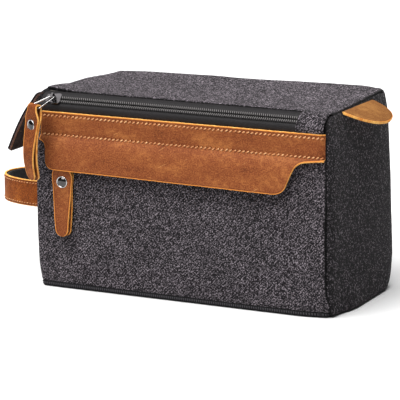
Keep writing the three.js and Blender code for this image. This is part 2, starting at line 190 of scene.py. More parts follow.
def worn_edges(obj, width, segments, angle):
    bevel = obj.modifiers.new("worn edges", "BEVEL")
    bevel.width = width * MM
    bevel.segments = segments
    bevel.limit_method = "ANGLE"
    bevel.angle_limit = math.radians(angle)
    return bevel


def solidify(obj, thickness, offset, rim, soften):
    """Gives a sheet its thickness, with softened edges"""
    solid = obj.modifiers.new("thickness", "SOLIDIFY")
    solid.use_rim = soften > 0
    solid.thickness = thickness * MM
    solid.offset = offset
    solid.material_offset_rim = rim
    if soften:
        worn_edges(obj, soften, 2, 55).material = rim or -1
    return obj


def finish(obj, slot, materials, body=None, replaces=()):
    """A piece's materials, the body it rides and the CAD nodes that it replaces. Its slot is not used"""
    for material in materials:
        obj.data.materials.append(material)
    if body:
        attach(obj, body)
    if replaces:
        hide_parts(*replaces)


# ---- Materials ----
class Shader:
    """A short way to write a node material"""

    def __init__(self, name, coords="flat"):
        self.material = bpy.data.materials.new(name)
        self.material.use_nodes = True
        self.tree = self.material.node_tree
        self.surface = self.tree.nodes["Principled BSDF"]
        if coords == "flat":
            place = self.add("Attribute", attribute_name="flat").outputs["Vector"]
        else:
            place = self.add("TexCoord").outputs["Object"]
        self.mm = self.vector("SCALE", place, Scale=1000)

    def add(self, kind, inputs=(), **settings):
        node = self.tree.nodes.new("ShaderNode" + kind)
        for key, value in settings.items():
            setattr(node, key, value)
        for key, value in dict(inputs).items():
            self.feed(node.inputs[key], value)
        return node

    def feed(self, socket, value):
        if isinstance(value, bpy.types.NodeSocket):
            self.tree.links.new(value, socket)
        else:
            socket.default_value = value

    def vector(self, operation, a, b=None, **named):
        node = self.add("VectorMath", {0: a, **named}, operation=operation)
        if b is not None:
            self.feed(node.inputs[1], b)
        return node.outputs["Vector"]

    def math(self, operation, a, b=0.0):
        return self.add("Math", {0: a, 1: b}, operation=operation).outputs[0]

    def times(self, a, b):
        return self.math("MULTIPLY", a, b)

    def plus(self, a, b):
        return self.math("ADD", a, b)

    def parts(self, place=None):
        return self.add("SeparateXYZ", {0: place or self.mm}).outputs

    def span(self, value, low, high, out_low=0.0, out_high=1.0):
        named = {"Value": value, "From Min": low, "From Max": high, "To Min": out_low, "To Max": out_high}
        return self.add("MapRange", named, interpolation_type="SMOOTHSTEP").outputs[0]

    def noise(self, size, detail=3.0, rough=0.55, place=None, stretch=None):
        place = place or self.mm
        if stretch:
            place = self.vector("MULTIPLY", place, stretch)
        named = {"Vector": place, "Scale": 1 / size, "Detail": detail, "Roughness": rough}
        return self.add("TexNoise", named).outputs[0]

    def cells(self, size, stretch):
        """A random number for each little rectangle of cloth"""
        scaled = self.vector("MULTIPLY", self.mm, tuple(s / size for s in stretch))
        return self.add("TexWhiteNoise", {"Vector": self.vector("FLOOR", scaled)}).outputs["Value"]

    def mix(self, amount, a, b):
        return self.add("Mix", {0: amount, 6: a, 7: b}, data_type="RGBA").outputs[2]

    def bump(self, height, distance, strength):
        named = {"Height": height, "Distance": distance * MM, "Strength": strength}
        return self.add("Bump", named).outputs[0]

    def set(self, **values):
        names = {"color": "Base Color", "rough": "Roughness", "metal": "Metallic",
                 "normal": "Normal", "sheen": "Sheen Weight", "sheen_rough": "Sheen Roughness",
                 "specular": "Specular IOR Level"}
        for key, value in values.items():
            self.feed(self.surface.inputs[names[key]], value)
        return self.material


def rgb(r, g, b):
    """An sRGB colour from 0 to 255 as linear light"""
    def linear(c):
        c /= 255
        return c / 12.92 if c <= 0.04045 else ((c + 0.055) / 1.055) ** 2.4
    return (linear(r), linear(g), linear(b), 1)


def shade(tint, factor):
    return [c * factor for c in tint]


def canvas_material(name="canvas", painted_brightness=1.0, size=1.0, sparse=0.0):
    """Washed heather canvas: dark threads with pale flecks in a fine twill, with painted shade along its
    seams
    """
    s = Shader(name)
    flat = s.parts()
    warp = s.times(s.plus(flat[0], flat[1]), 0.7071)
    weft = s.times(s.math("SUBTRACT", flat[0], flat[1]), 0.7071)
    cloudy = s.span(s.noise(26, 4, 0.6, s.vector("MULTIPLY", s.mm, (1, 1, 0))), 0.3, 0.7, 0.84, 1.14)
    s.mm = s.add("CombineXYZ", {0: warp, 1: weft}).outputs[0]
    coarse = s.cells(0.66 * size, (1, 0.85, 1))
    fine = s.cells(0.47 * size, (0.85, 1, 1))
    twill = s.math("SINE", s.times(weft, 3.1))
    threads = s.plus(s.times(coarse, 0.58), s.times(fine, 0.42))
    fleck = s.plus(threads, s.times(twill, 0.06))
    pale = s.span(fleck, 0.5 + sparse, 0.96)
    # painted_brightness above 1 lightens the canvas as painted light and below 1 darkens it as painted
    # shade; sparse gives fewer pale flecks, which darkens it too
    dark = s.span(fleck, 0.1, 0.5, 0.2 * painted_brightness, painted_brightness)
    ground = s.mix(pale, rgb(25, 22, 25), rgb(124, 116, 122))
    # flat[2] is the distance to the seam; near it the colour is darkened as painted shade
    tone_and_painted_shade = s.times(s.times(dark, cloudy), s.span(flat[2], 0.1, 1.2, 0.1, 1.0))
    tint = s.add("CombineXYZ", {0: tone_and_painted_shade, 1: tone_and_painted_shade, 2: tone_and_painted_shade}).outputs[0]
    height = s.plus(fleck, s.times(twill, 0.3))
    return s.set(color=s.vector("MULTIPLY", ground, tint), rough=0.92, sheen=0.03, sheen_rough=0.5,
                 specular=0.15, normal=s.bump(height, 0.2, 0.6))


def leather_material(name, *tints, seed=0):
    """Waxed pull-up leather: cloudy patches, fine grain, rubbed rims and scratches"""
    s = Shader(name)
    dark, middle, light = (rgb(*tint) for tint in tints)
    edge = s.parts()[2]
    s.mm = s.vector("ADD", s.vector("MULTIPLY", s.mm, (1, 1, 0)), (seed, seed * 0.7, seed))
    patches = s.noise(24, 5, 0.6, stretch=(0.6, 1, 1))
    clouds = s.noise(5, 6, 0.7)
    specks = s.noise(1.1, 4, 0.75)
    tone = s.plus(s.times(patches, 0.6), s.times(clouds, 0.4))
    color = s.mix(s.span(tone, 0.34, 0.48), dark, middle)
    color = s.mix(s.span(tone, 0.48, 0.62), color, light)
    color = s.mix(s.span(specks, 0.5, 0.62, 0, 0.7), color, light)
    color = s.mix(s.span(specks, 0.5, 0.4, 0, 0.6), color, dark)
    turned = s.add("VectorRotate", {"Vector": s.mm, "Angle": 1.1}, rotation_type="Z_AXIS").outputs[0]
    streak = s.noise(1.6, 2, 0.5, turned, (1, 0.09, 1))
    color = s.mix(s.span(streak, 0.7, 0.75, 0, 0.4), color, rgb(190, 138, 84))
    color = s.mix(s.span(edge, 2.2, 1.1, 0, 0.5), color, dark)
    worn = s.plus(edge, s.times(specks, 0.7))
    color = s.mix(s.span(worn, 1.25, 0.75, 0, 0.9), color, rgb(200, 126, 54))
    pores = s.add("TexVoronoi", {"Vector": s.mm, "Scale": 1.1}).outputs["Distance"]
    height = s.plus(s.times(pores, 0.5), s.times(clouds, 0.9))
    rough = s.span(tone, 0.35, 0.65, 0.74, 0.6)
    return s.set(color=color, rough=rough, normal=s.bump(height, 0.25, 0.9), specular=0.14)


def raw_edge_material(name="leather_raw_edge", bright=(232, 182, 100), deep=(186, 112, 46)):
    """The pale fibrous cut edge of the leather"""
    s = Shader(name)
    fibres = s.noise(0.6, 4, 0.7)
    patches = s.noise(6, 2)
    tone = s.plus(s.times(fibres, 0.6), s.times(patches, 0.4))
    color = s.mix(s.span(tone, 0.36, 0.62), rgb(*deep), rgb(*bright))
    return s.set(color=color, rough=0.85, normal=s.bump(fibres, 0.4, 0.8), specular=0.2)


def tape_material():
    """Satin zip tape with fine ribs along it"""
    s = Shader("zip_tape")
    black = (25, 23, 24)
    parts = s.parts()
    ribs = s.math("SINE", s.times(parts[1], 9))
    picks = s.math("SINE", s.times(parts[0], 11))
    grain = s.noise(0.8, 3, 0.6)
    height = s.plus(s.times(ribs, 0.3), s.times(picks, 0.15))
    lift = s.span(grain, 0.35, 0.75)
    color = s.mix(lift, rgb(*shade(black, 0.8)), rgb(*shade(black, 1.25)))
    return s.set(color=color, rough=0.62, normal=s.bump(height, 0.15, 0.6), specular=0.16)


def welt_material():
    """Black binding with a ribbed cord along its middle, whose ribs carry a painted highlight"""
    s = Shader("welt_cloth")
    parts = s.parts()
    ribs = s.span(s.math("SINE", s.times(parts[0], 3.2)), -0.4, 0.7)
    cord = s.times(s.span(parts[1], 2.2, 3.4), s.span(parts[1], 6.6, 5.2))
    painted_highlight = s.times(ribs, cord)
    color = s.mix(painted_highlight, rgb(14, 13, 15), rgb(66, 64, 67))
    return s.set(color=color, rough=0.8, normal=s.bump(painted_highlight, 0.3, 0.7), specular=0.12)


def coil_material():
    """Black nylon coil with a painted highlight on the crown of each turn and painted shade between the
    turns
    """
    s = Shader("coil_nylon")
    crown = s.parts()[0]
    speckle = s.noise(1.5, 3)
    painted_highlight = s.times(s.span(crown, 0.5, 1.0), s.span(speckle, 0.3, 0.7, 0.75, 1.1))
    color = s.mix(painted_highlight, rgb(7, 7, 7), rgb(98, 95, 94))
    return s.set(color=color, rough=0.4, normal=s.bump(speckle, 0.05, 0.4), specular=0.2)


def cloth_material(name, tint, size=0.6, coords="flat"):
    """Plain woven cloth"""
    s = Shader(name, coords)
    parts = s.parts(s.vector("SCALE", s.mm, Scale=math.tau / size))
    weave = s.times(s.math("SINE", parts[0]), s.math("SINE", parts[1]))
    slubs = s.noise(2.2, 3)
    color = s.mix(s.span(slubs, 0.35, 0.7), rgb(*shade(tint, 0.8)), rgb(*shade(tint, 1.2)))
    height = s.plus(s.times(weave, 0.4), slubs)
    return s.set(color=color, rough=0.85, normal=s.bump(height, 0.12, 0.7), sheen=0.2, specular=0.25)


def thread_material():
    """Waxed linen thread, twisted from two strands"""
    s = Shader("thread")
    parts = s.parts()
    slanted = s.plus(parts[0], s.times(parts[1], 1.4))
    twist = s.math("SINE", s.times(slanted, 6))
    wax = s.noise(2.5, 2)
    color = s.mix(s.span(wax, 0.35, 0.65), rgb(176, 108, 62), rgb(226, 176, 124))
    # Painted shade in the groove between the two strands of the twist
    color = s.mix(s.span(twist, -0.2, -1.0, 0, 0.5), color, rgb(150, 84, 44))
    return s.set(color=color, rough=0.6, normal=s.bump(twist, 0.15, 0.8), specular=0.3)


# Dark brown discs of painted shade, standing in for the needle holes
def hole_shade_material():
    s = Shader("needle_hole_shade", "object")
    color = s.mix(s.noise(1.2), rgb(58, 26, 12), rgb(92, 44, 18))
    return s.set(color=color, rough=0.9, specular=0.1)


def metal_material(name, tint, rough):
    """Plated metal with light wear"""
    s = Shader(name, "object")
    smear = s.noise(2.4, 4, 0.6)
    fine = s.noise(0.25, 2)
    color = s.mix(s.span(smear, 0.3, 0.7), rgb(*shade(tint, 0.85)), rgb(*tint))
    polish = s.plus(rough, s.span(smear, 0.3, 0.75, 0, 0.08))
    return s.set(color=color, metal=1.0, rough=polish, normal=s.bump(fine, 0.006, 0.2))


def board_material():
    s = Shader("fibre_board", "object")
    fibres = s.noise(1.2, 4, 0.7, stretch=(0.3, 1, 1))
    color = s.mix(s.span(fibres, 0.35, 0.65), rgb(120, 100, 78), rgb(152, 132, 104))
    return s.set(color=color, rough=0.9, normal=s.bump(fibres, 0.1, 0.6))


CANVAS = canvas_material()
# Copies of the canvas for the top and the right end, made lighter and darker as painted light and shade
LIT_TOP_CANVAS = canvas_material("top_canvas", 1.2, 1.35)
SHADED_END_CANVAS = canvas_material("end_canvas", 0.74, 1.5, 0.12)
LEATHER = leather_material("leather", (86, 39, 17), (113, 58, 27), (146, 88, 44))
PULL_LEATHER = leather_material("pull_leather", (64, 27, 6), (97, 45, 13), (138, 76, 28), seed=31)
HANDLE_LEATHER = leather_material("handle_leather", (70, 30, 5), (104, 48, 10), (138, 74, 20), seed=57)
TAB_LEATHER = leather_material("tab_leather", (90, 54, 24), (113, 72, 35), (138, 95, 50), seed=83)
DARK_LEATHER = leather_material("dark_leather", (30, 19, 16), (46, 31, 26), (72, 50, 40), seed=12)
RAW_EDGE = raw_edge_material()
DARK_EDGE = raw_edge_material("dark_raw_edge", (84, 60, 52), (48, 32, 28))
TAPE = tape_material()
COIL = coil_material()
BLACK_CLOTH = cloth_material("black_cloth", (30, 29, 30))
WELT_CLOTH = welt_material()
LINING_CLOTH = cloth_material("lining_cloth", (92, 84, 78), 0.5)
CAD_LINING = cloth_material("pouch_cloth", (92, 84, 78), 0.5, "object")
CAD_TAPE = cloth_material("pocket_tape_cloth", (38, 36, 37), 0.7, "object")
THREAD = thread_material()
HOLE_SHADE = hole_shade_material()
GUNMETAL = metal_material("gunmetal", (58, 56, 57), 0.24)
CHROME = metal_material("chrome", (206, 204, 203), 0.1)
# The rivet caps are chrome with a darkened colour, as a painted reflection of dark surroundings
DARKENED_CHROME = metal_material("darkened_chrome", (88, 86, 86), 0.08)
BOARD = board_material()


# ---- Canvas body ----
class Panel:
    """A flat-cut panel with rounded corners, sewn in along all its edges"""

    def __init__(self, low, high, corners):
        self.low, self.high = low, high
        self.middle = [(a + b) / 2 for a, b in zip(low, high)]
        self.half = [(b - a) / 2 for a, b in zip(low, high)]
        self.corners = corners          # radii: low-low, high-low, low-high, high-high

    def place(self, u, v):
        """The point in the panel's plane, its distance to the edge and how far it is tucked in"""
        over = max(self.low[0] - u, u - self.high[0], self.low[1] - v, v - self.high[1], 0)
        x = clamp(u, self.low[0], self.high[0]) - self.middle[0]
        y = clamp(v, self.low[1], self.high[1]) - self.middle[1]
        radius = self.corners[(x > 0) + 2 * (y > 0)]
        corner = [self.half[0] - radius, self.half[1] - radius]
        out = [abs(x) - corner[0], abs(y) - corner[1]]
        if min(out) > 0:
            p, q = out[0] / radius, out[1] / radius
            out = [radius * p * math.sqrt(1 - q * q / 2), radius * q * math.sqrt(1 - p * p / 2)]
            x = math.copysign(corner[0] + out[0], x)
            y = math.copysign(corner[1] + out[1], y)
        far = math.hypot(max(out[0], 0), max(out[1], 0)) + min(max(out), 0)
        dive = 0.5 * over / math.hypot(x, y)
        return x * (1 - dive) + self.middle[0], y * (1 - dive) + self.middle[1], max(0, radius - far), over


def pucker(edge, u, v, seed):
    """Small gathers where a seam pulls the cloth"""
    fade = math.exp(-edge / 7) * min(1, edge / 1.5)
    return 0.35 * fade * wave(u, v, 4.5, seed)


def slack(u, v, seed):
    """The cloth's broad soft unevenness"""
    return sum(depth * wave(u, v, size, seed + more)
               for depth, size, more in ((0.9, 58, 0), (0.35, 23, 3), (0.1, 9, 7)))


SETTLED = (
    # corner, how far it gives way, over what distance
    ((LEFT, BACK, TOP), (9, -2, -1.5), 60),
    ((LEFT, -45, TOP), (-1, 0, 2.6), 36),
    ((RIGHT, BACK, TOP), (-1.4, -1.4, -1.6), 24),
    ((LEFT, BACK, 0), (3, -4, 0), 40),
    ((RIGHT, FRONT, 0), (3, 4.5, 0), 26),
    ((LEFT, FRONT, 0), (1.5, 0.5, 0), 24),
)


def settle(x, y, z):
    """Lets the whole soft body spread at its ends and give way at its corners together"""
    spot = Vector((x, y, z))
    rise = clamp(z / TOP, 0, 1)
    back = ease((y + 40) / 107)
    side = ease((y + 67) / 45)
    share = side + (back - side) * ease(z / 40)
    spread = (1 - rise) ** 0.7 * (2.8 + 6.2 * share)
    spread += 4 * share * max(0, 1 - z / 25) ** 2
    spot.x += ease((x - 50) / 80) * spread
    spot.x -= ease((-50 - x) / 80) * 2.7 * math.sin(math.pi * rise) ** 0.7
    spot.z += 2.3 * ease((x + 20) / 150) * back * rise ** 3
    for corner, give, reach in SETTLED:
        share = ease(1 - (Vector((x, y, z)) - Vector(corner)).length / reach)
        spot += Vector(give) * share
    return tuple(spot)


def front_panel():
    panel = Panel((LEFT + TUCK, BASE), (RIGHT - TUCK, STRIP_TOP), (3, 4, 3, 3))
    x0, x1, z0, z1 = -112, 90, POCKET_Z - 6, POCKET_Z + 6          # the pocket's slot

    def place(u, v):
        x, z, edge, over = panel.place(u, v)
        free = ease((104 - z) / 26) * (0.25 + 0.75 * ease((x + 92) / 30)) + 0.4 * ease((x - 108) / 8)
        out = 1.6 * free * math.sin(math.pi * clamp(z / 110, 0, 1)) - 0.45
        out += (0.3 + 0.7 * min(1, free)) * 0.6 * slack(x, z, 1.5) + pucker(edge, x, z, 4.5)
        out -= roll(edge, TUCK - 0.45, 3.2) + over
        inside = min(x - x0, x1 - x, z - z0, z1 - z)
        if inside > -0.1:
            out -= 1.2
        elif inside > -1.3:
            out -= 0.5
        return settle(x, FRONT - out, z), (x, z, edge)

    def is_slot(u, v):
        return x0 < u < x1 and z0 < v < z1

    us = lines(LEFT + TUCK, RIGHT - TUCK, 3, (x0 - 1, x0, x1, x1 + 1))
    vs = lines(BASE, STRIP_TOP, 3, (z0 - 1, z0, z1, z1 + 1))
    sheet = grid("front_canvas", us, vs, place, is_slot)
    finish(sheet, "canvas", [CANVAS], "body", ["front_panel"])


def end_panel(side, bulge, name, node):
    foot = 1.4 if side > 0 else BASE
    panel = Panel((FRONT + TUCK, foot), (BACK - TUCK, TOP - TUCK), (4, FOOT, 10.4, 7))

    def place(u, v):
        y, z, edge, over = panel.place(u, v)
        across = 1 - ((y - 4) / 72) ** 2
        upright = 1 - ((z - 80) / 86) ** 2
        out = bulge * max(0, across) * max(0, upright) + 0.8 * slack(y, z, 11.5 + side)
        out *= ease(edge / 12)
        out += pucker(edge, y, z, 14.5 + side) - roll(edge, TUCK + 0.4, 8) - over
        return settle(side * (RIGHT + out), y, z), (y * side + 200, z, edge)

    sheet = grid(name, lines(FRONT + TUCK, BACK - TUCK, 3), lines(foot, TOP - TUCK, 3), place)
    # The right end gets the darkened copy of the canvas as painted shade
    finish(sheet, "canvas", [SHADED_END_CANVAS if side > 0 else CANVAS], "body", [node])


BACK_EDGE = 5                 # radius of the top's back edge
RUNS = (BACK - BACK_EDGE + 50, math.pi / 2 * BACK_EDGE, TOP - BACK_EDGE - BASE - FOOT, math.pi / 2 * FOOT)


def wrap_profile(s):
    """Place and outward direction on the top and back, a distance s from the zip"""
    top, bend, upright, _ = RUNS
    if s < top:
        return (s - 50, TOP), (0, 1)
    if s < top + bend:
        a = (s - top) / BACK_EDGE
        y, z = math.sin(a), math.cos(a)
        return (BACK + BACK_EDGE * (y - 1), TOP + BACK_EDGE * (z - 1)), (y, z)
    s -= top + bend
    if s < upright:
        return (BACK, TOP - BACK_EDGE - s), (1, 0)
    a = (s - upright) / FOOT
    y, z = math.cos(a), -math.sin(a)
    return (BACK + FOOT * (y - 1), BASE + FOOT * (z + 1)), (y, z)


def wrap_panel():
    """One piece of canvas over the top and down the back"""
    length = sum(RUNS)
    panel = Panel((LEFT + TUCK, 0), (RIGHT - TUCK, length), (2, 2, 2, 2))

    def place(u, v):
        x, s, edge, over = panel.place(u, v)
        (y, z), (ny, nz) = wrap_profile(clamp(s, 0, length - 0.01))
        side = RIGHT - TUCK - abs(x)
        hem = max(0, s)
        out = 0.9 * slack(x, s, 21.5) * ease(edge / 14)
        out += 1.3 * math.exp(-((s - 118) / 24) ** 2)
        out -= 0.6 * ease(hem / 50) * ease((100 - hem) / 40) * (1 - (x / 130) ** 2)
        out += 1.8 * ease((s - 125) / 60) * ease((length - s) / 60) * (1 - (x / 130) ** 2)
        out += pucker(edge, x, s, 24.5) * ease(hem / 12) - roll(side, TUCK, 3)
        out -= roll(hem, 1.3, 2.2) + roll(length - s, 1.2, 3) + over
        # The hem's edge distance is shortened so the canvas paints a wider band of seam shade along the zip
        return settle(x, y + ny * out, z + nz * out), (x, 400 + s, min(side, 0.7 * s + 0.1, length - s))

    sheet = grid("top_and_back_canvas", lines(LEFT + TUCK, RIGHT - TUCK, 3.4), lines(0, length, 3), place)
    # The top and back get the lightened copy of the canvas as painted light
    finish(sheet, "canvas", [LIT_TOP_CANVAS], "body", ["top_panel", "back_panel"])


def ring_outline(inset, radius):
    """The bag's plan at the base as a closed loop, counter-clockwise"""
    x0, x1, y0, y1 = LEFT + inset, RIGHT - max(inset, 3), FRONT + inset, BACK - inset - 20
    corners = [(x1 - radius, y0 + radius, -90), (x1 - radius, y1 - radius, 0),
               (x0 + radius, y1 - radius, 90), (x0 + radius, y0 + radius, 180)]
    loop = []
    for cx, cy, start in corners:
        for k in range(9):
            a = math.radians(start + 90 * k / 8)
            loop.append((cx + radius * math.cos(a), cy + radius * math.sin(a)))
    return [(p.x, p.y) for p, _ in walk([(*p, 0) for p in loop + loop[:1]], pitch=3)][:-1]


def base_welt():
    """The bound band that closes the bottom seam"""
    section = [(2.4, 4.9), (1.0, 4.6), (0.35, 4.0), (0.15, 3.1), (0.55, 2.5),
               (0.3, 1.9), (0.5, 1.1), (1.2, 0.5), (3, 0.35)]
    loop = [Vector(p) for p in ring_outline(0.1, 5)]
    points, flats = [], []
    for i, spot in enumerate(loop):
        step = (loop[(i + 1) % len(loop)] - loop[i - 1]).normalized()
        inward = Vector((-step.y, step.x))
        for k, (depth, z) in enumerate(section):
            x, y = spot + inward * (depth + 0.1 * wave(spot.x + spot.y, z, 9, 31.5))
            points.append(settle(x, y, z))
            flats.append((i * 3, k * 1.2))
    band = mesh_object("bottom_welt", points, section_faces(len(loop), len(section)), flats)
    band.data.flip_normals()
    finish(band, "black_cloth", [WELT_CLOTH], "body", ["base_welt"])


def bottom_panel():
    low, high = (LEFT + 2.6, FRONT + 2.6), (RIGHT - 4.6, BACK - 22.6)
    panel = Panel(low, high, (4, 4, 4, 4))

    def place(u, v):
        x, y, edge, over = panel.place(u, v)
        up = 0.25 + roll(edge, 1, 4) + over + 0.15 * wave(x, y, 30, 41.5)
        return settle(x, y, max(0, up)), (x, y + 800)

    sheet = grid("bottom_canvas", lines(low[0], high[0], 6), lines(low[1], high[1], 6), place)
    sheet.data.flip_normals()
    finish(sheet, "canvas", [CANVAS], "body", ["bottom_panel"])


def base_board():
    """The stiff board between the lining and the bottom canvas"""
    loop = ring_outline(3.4, 4)
    count = len(loop)
    points = [(x, y, z) for z in (1.4, 3.4) for x, y in loop]
    faces = [tuple(range(count))[::-1], tuple(range(count, 2 * count))]
    faces += [(i, (i + 1) % count, count + (i + 1) % count, count + i) for i in range(count)]
    board = mesh_object("stiff_board", points, faces)
    board.data.shade_flat()
    finish(board, "board", [BOARD], "body", ["base_board"])


def lining():
    """The sewn cloth sack inside: one piece round the length and two ends"""
    low, high, front, back = 5.2, 161.5, -59.5, 63.5
    side = 126.8
    section = [(-61.6, 151), (front - 0.6, 147), (front, 138), (front, 60), (front, low + 6),
               (front + 6, low), (0, low), (back - 34, low), (back - 9, low + 9), (back, low + 34),
               (back, 80), (back, high - 8), (back - 8, high), (0, high), (-44, high), (-50.5, 161.8)]
    path = smooth([(0, y, z) for y, z in section], 120)

    def place(u, v):
        step = heading(path, v)
        fold = 0.7 * wave(u, v * 4.5, 22, 51.5) + 0.3 * wave(u, v * 4.5, 8, 53.5)
        fold *= ease((side - abs(u)) / 10)
        spot = path[v] + Vector((0, -step.z, step.y)) * fold
        return settle(u, spot.y, spot.z), (u, v * 4.5)

    sheet = grid("lining_wrap", steps(-side, side, 60), range(121), place)
    finish(sheet, "lining_cloth", [LINING_CLOTH], "body", ["lining"])
    for sign, name in ((-1, "lining_left_end"), (1, "lining_right_end")):
        panel = Panel((front, low), (back, high), (5, FOOT, 9, 7))

        def end(u, v):
            y, z, edge, over = panel.place(u, v)
            inward = (1.2 * wave(y, z, 24, 55.5 + sign) + 1.2) * ease(edge / 12)
            return settle(sign * (side - inward + 0.02 * over), y, z), (y + 300, z)

        cap = grid(name, lines(front, back, 6, beyond=0.2), lines(low, high, 6, beyond=0.2), end)
        finish(cap, "lining_cloth", [LINING_CLOTH], "body")


# ---- Leather strip and flap ----
FLAP_STEP = 1.3               # between the columns of the strip's mesh


def bezier(points, count):
    """A curve from the first point to the last that leans towards the others"""
    curve = []
    for t in steps(0, 1, count):
        spots = [Vector(p) for p in points]
        while len(spots) > 1:
            spots = [a.lerp(b, t) for a, b in zip(spots, spots[1:])]
        curve.append(spots[0])
    return curve


def flap_edge():
    """The lower edge of the strip and flap, from left to right: curved corners and straight runs"""
    edge = [Vector((-125.3, 126))]
    for bend, end, count, then in (((-119.5, 125.2), (-118.6, 120), 6, ((-118.2, 115), (-118, 111.5))),
                                   ((-117.6, 102.5), (-109.5, 102.4), 8, ((86, 100),)),
                                   ((95, 100), (98, 106), 8, ((103.3, 119),)),
                                   ((106, 126.4), (114, 127.2), 8, ((129, 128.9),))):
        edge += bezier((edge[-1], bend, end), count)[1:] + [Vector(p) for p in then]
    return [p for p, _ in walk([(*p, 0) for p in edge], pitch=FLAP_STEP)]


def strip_and_flap():
    bottom = flap_edge()
    count = len(bottom)
    rows = [0, 0.012, 0.03] + steps(0.06, 0.94, 26) + [0.97, 0.988, 1]
    middle = STRIP_FACE + LEATHER_THICK / 2

    def place(i, v):
        foot = bottom[i]
        share = i / (count - 1)
        blend = ease((foot.x + 125.3) / 40)
        head_x = (88 * share - 124) * (1 - blend) + foot.x * blend
        head = Vector((clamp(min(head_x, foot.x + 8), -124, 129), STRIP_TOP + 0.35 * share, 0))
        spot = head + (foot - head) * v
        rim = min(1, 12 * min(v, 1 - v))
        spot.y += 0.22 * (1 - rim) * wave(spot.x, spot.y, 1.7, 61.5)
        length = (head - foot).length
        edge = min(v * length, (1 - v) * length, i * FLAP_STEP)
        out = 0.15 * wave(spot.x, spot.y, 26, 63.5) + 0.06 * wave(spot.x, spot.y, 6, 65.5)
        below = FOLD - spot.y
        if below > 0:
            near = math.exp(-((spot.x + 104.5) / 24) ** 2)
            out += (6.1 + near) * (1 - math.exp(-below / 8))
            out -= 0.25 * wave(spot.x, spot.y, 34, 67.5) * ease(below / 14)
        else:
            out -= 0.35 * math.exp(-((spot.y - 131.5) / 1.6) ** 2)
            out -= 0.4 * math.exp(-((spot.y - 147.5) / 1.3) ** 2)
            out -= 2.2 * ease((spot.x - 125.5) / 3.5)
        return (spot.x, middle - out, spot.y), (spot.x, spot.y, edge)

    sheet = grid("strip_and_flap", range(count), rows, place)
    sheet.data.flip_normals()
    solidify(sheet, LEATHER_THICK, 0, 1, 0.7)
    finish(sheet, "leather", [LEATHER, RAW_EDGE], None, ["leather_strip", "flap"])
    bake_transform(sheet)


# ---- Straps ----
ACROSS = [-1, -0.95, -0.86, -0.7, -0.5, -0.25, 0, 0.25, 0.5, 0.7, 0.86, 0.95, 1]


def strap(name, path, side, width):
    """A sheet along a path. side is the direction across it, width gives its half-width"""
    side = Vector(side)
    run = distances(path)

    def place(u, i):
        half = width(run[i] / run[-1])
        rough = 0.15 * wave(run[i], u, 1.6, 71.5) * abs(u) ** 6
        spot = path[i] + side * (u * half + rough * (1 if u > 0 else -1))
        return spot, (u * half, run[i], half * (1 - abs(u)))

    return grid(name, ACROSS, range(len(path)), place)


def tube(name, path, radius, sides=12, closed=True, flats=None):
    """A round wire along a path"""
    path = [Vector(p) for p in path]
    count = len(path)
    points, faces = [], []
    across = None
    for i, spot in enumerate(path):
        step = (path[(i + 1) % count] - path[i - 1]).normalized() if closed else heading(path, i)
        if across is None:
            across = step.orthogonal().normalized()
        across = (across - step * across.dot(step)).normalized()
        up = step.cross(across)
        for k in range(sides):
            a = math.tau * k / sides
            points.append(spot + (across * math.cos(a) + up * math.sin(a)) * radius)
    for i in range(count if closed else count - 1):
        for k in range(sides):
            a, b = i * sides, (i + 1) % count * sides
            faces.append((a + k, a + (k + 1) % sides, b + (k + 1) % sides, b + k))
    if not closed:
        faces.append(tuple(range(sides))[::-1])
        faces.append(tuple((count - 1) * sides + k for k in range(sides)))
    flats = [f for f in flats for _ in range(sides)] if flats else None
    return mesh_object(name, points, faces, flats)


def lathe(name, profile, place):
    """Turns a profile of (radius, height) round an axis. place maps (x, y, height) to the bag"""
    sides = 48
    turns = [math.tau * i / sides for i in range(sides)]
    points = [place(r * math.cos(a), r * math.sin(a), h) for a in turns for r, h in profile]
    return mesh_object(name, points, section_faces(sides, len(profile)))


BEAD_RINGS, BEAD_SIDES = (-1, -0.86, -0.55, 0, 0.55, 0.86, 1), 7


def bead(spot, line, up, length, radius):
    """The points of one stitch: a short thick thread that dives into the leather at both ends"""
    width = up.cross(line)
    points = []
    for t in BEAD_RINGS:
        size = radius * math.sqrt(max(0.06, 1 - t ** 6))
        centre = spot + line * (t * length / 2) + up * (radius * (0.55 - 1.25 * t ** 4))
        for k in range(BEAD_SIDES):
            a = math.tau * k / BEAD_SIDES
            points.append(centre + (width * math.cos(a) + up * math.sin(a)) * size)
    return points


